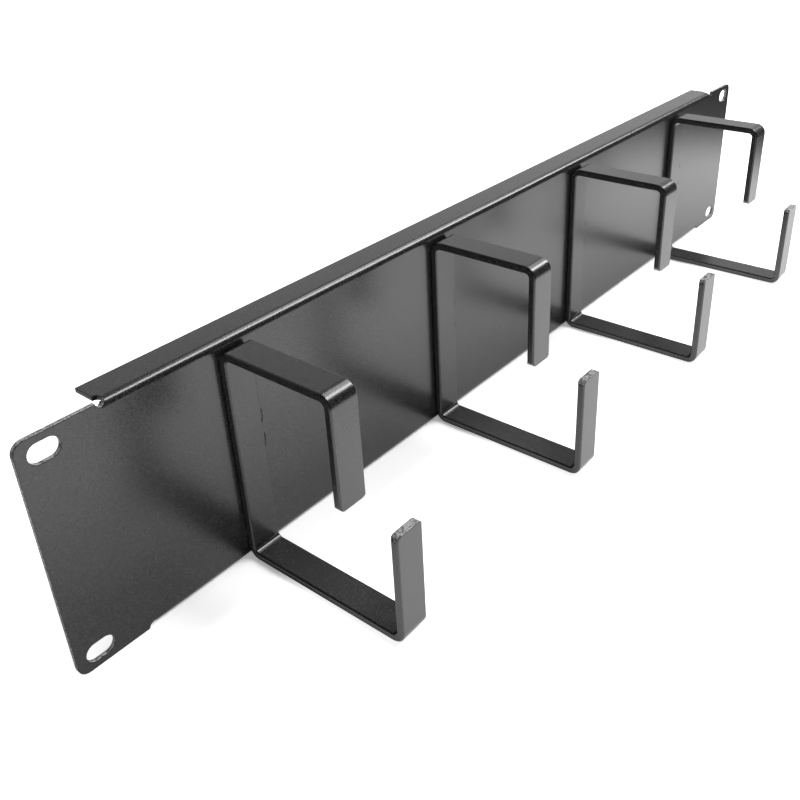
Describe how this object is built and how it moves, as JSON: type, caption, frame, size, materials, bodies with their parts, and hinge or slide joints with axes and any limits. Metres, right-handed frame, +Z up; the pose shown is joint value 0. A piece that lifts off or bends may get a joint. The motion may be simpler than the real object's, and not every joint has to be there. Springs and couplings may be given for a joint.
{
  "type": "rack cable management panel",
  "caption": "Black steel rack panel with folded top and bottom flanges, slotted ears and a row of open flat-bar rings that hold cables along its front.",
  "frame": {"origin": "middle of the four rack slots, on the rear face of the ears, which seats on the rack's rails", "axes": "+X along the panel to its right as seen from the front, +Y back into the rack, +Z up"},
  "size_m": [0.4826, 0.086, 0.0882],
  "materials": {
    "panel_paint": "satin black powder coat with a fine grain",
    "ring_paint": "satin black powder coat with a fine grain"
  },
  "bodies": {
    "root": {"panel": "panel_paint", "cable_ring_1": "ring_paint", "cable_ring_2": "ring_paint", "cable_ring_3": "ring_paint", "cable_ring_4": "ring_paint"}
  },
  "joints": []
}
